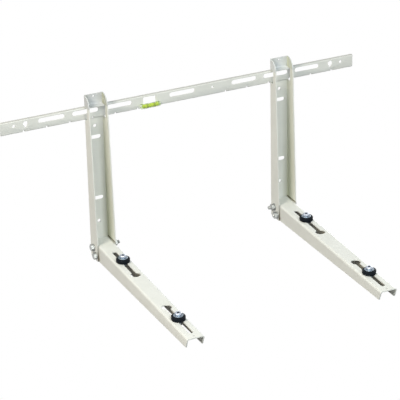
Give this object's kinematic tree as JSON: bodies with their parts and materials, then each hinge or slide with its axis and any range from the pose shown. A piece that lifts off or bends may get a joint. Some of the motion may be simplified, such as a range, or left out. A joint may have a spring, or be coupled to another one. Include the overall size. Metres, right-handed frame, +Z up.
{
  "type": "air conditioner wall bracket",
  "caption": "Slotted wall rail with a spirit level and two hooked L brackets, each an upright and a slotted arm bolted together, with anti-vibration mounts.",
  "frame": {"origin": "on the wall plane, at the middle of the rail's length and height", "axes": "+X along the rail to the right as seen from the room side, +Y into the wall, +Z up"},
  "size_m": [0.8, 0.48, 0.3626],
  "materials": {
    "enamel": "satin light grey powder coat",
    "zinc": "bright zinc plate",
    "rubber": "moulded black rubber",
    "clear": "clear acrylic",
    "liquid": "lime-yellow level liquid"
  },
  "bodies": {
    "rail": {"rail": "enamel", "level_tube": "clear", "level_plug": "clear", "level_liquid": "liquid"},
    "left_bracket": {"left_upright": "enamel", "left_arm": "enamel", "left_upper_corner_bolt": "zinc", "left_upper_corner_bolt_washer": "zinc", "left_upper_corner_nut_washer": "zinc", "left_upper_corner_nut": "zinc", "left_lower_corner_bolt": "zinc", "left_lower_corner_bolt_washer": "zinc", "left_lower_corner_nut_washer": "zinc", "left_lower_corner_nut": "zinc"},
    "right_bracket": {"right_upright": "enamel", "right_arm": "enamel", "right_upper_corner_bolt": "zinc", "right_upper_corner_bolt_washer": "zinc", "right_upper_corner_nut_washer": "zinc", "right_upper_corner_nut": "zinc", "right_lower_corner_bolt": "zinc", "right_lower_corner_bolt_washer": "zinc", "right_lower_corner_nut_washer": "zinc", "right_lower_corner_nut": "zinc"},
    "left_rear_mount": {"left_rear_mount_rubber": "rubber", "left_rear_mount_top_washer": "zinc", "left_rear_mount_under_washer": "zinc", "left_rear_mount_nut": "zinc", "left_rear_mount_bolt": "zinc"},
    "left_front_mount": {"left_front_mount_rubber": "rubber", "left_front_mount_top_washer": "zinc", "left_front_mount_under_washer": "zinc", "left_front_mount_nut": "zinc", "left_front_mount_bolt": "zinc"},
    "right_rear_mount": {"right_rear_mount_rubber": "rubber", "right_rear_mount_top_washer": "zinc", "right_rear_mount_under_washer": "zinc", "right_rear_mount_nut": "zinc", "right_rear_mount_bolt": "zinc"},
    "right_front_mount": {"right_front_mount_rubber": "rubber", "right_front_mount_top_washer": "zinc", "right_front_mount_under_washer": "zinc", "right_front_mount_nut": "zinc", "right_front_mount_bolt": "zinc"}
  },
  "joints": [
    {"name": "left_bracket_slide", "type": "slide", "parent": "rail", "child": "left_bracket", "axis": [1, 0, 0], "range_m": [-0.18, 0.075]},
    {"name": "right_bracket_slide", "type": "slide", "parent": "rail", "child": "right_bracket", "axis": [1, 0, 0], "range_m": [-0.25, 0.15]},
    {"name": "left_rear_mount_slide", "type": "slide", "parent": "left_bracket", "child": "left_rear_mount", "axis": [0, 1, 0], "range_m": [-0.048, 0.045]},
    {"name": "left_front_mount_slide", "type": "slide", "parent": "left_bracket", "child": "left_front_mount", "axis": [0, 1, 0], "range_m": [-0.055, 0.04]},
    {"name": "right_rear_mount_slide", "type": "slide", "parent": "right_bracket", "child": "right_rear_mount", "axis": [0, 1, 0], "range_m": [-0.048, 0.045]},
    {"name": "right_front_mount_slide", "type": "slide", "parent": "right_bracket", "child": "right_front_mount", "axis": [0, 1, 0], "range_m": [-0.055, 0.04]}
  ]
}
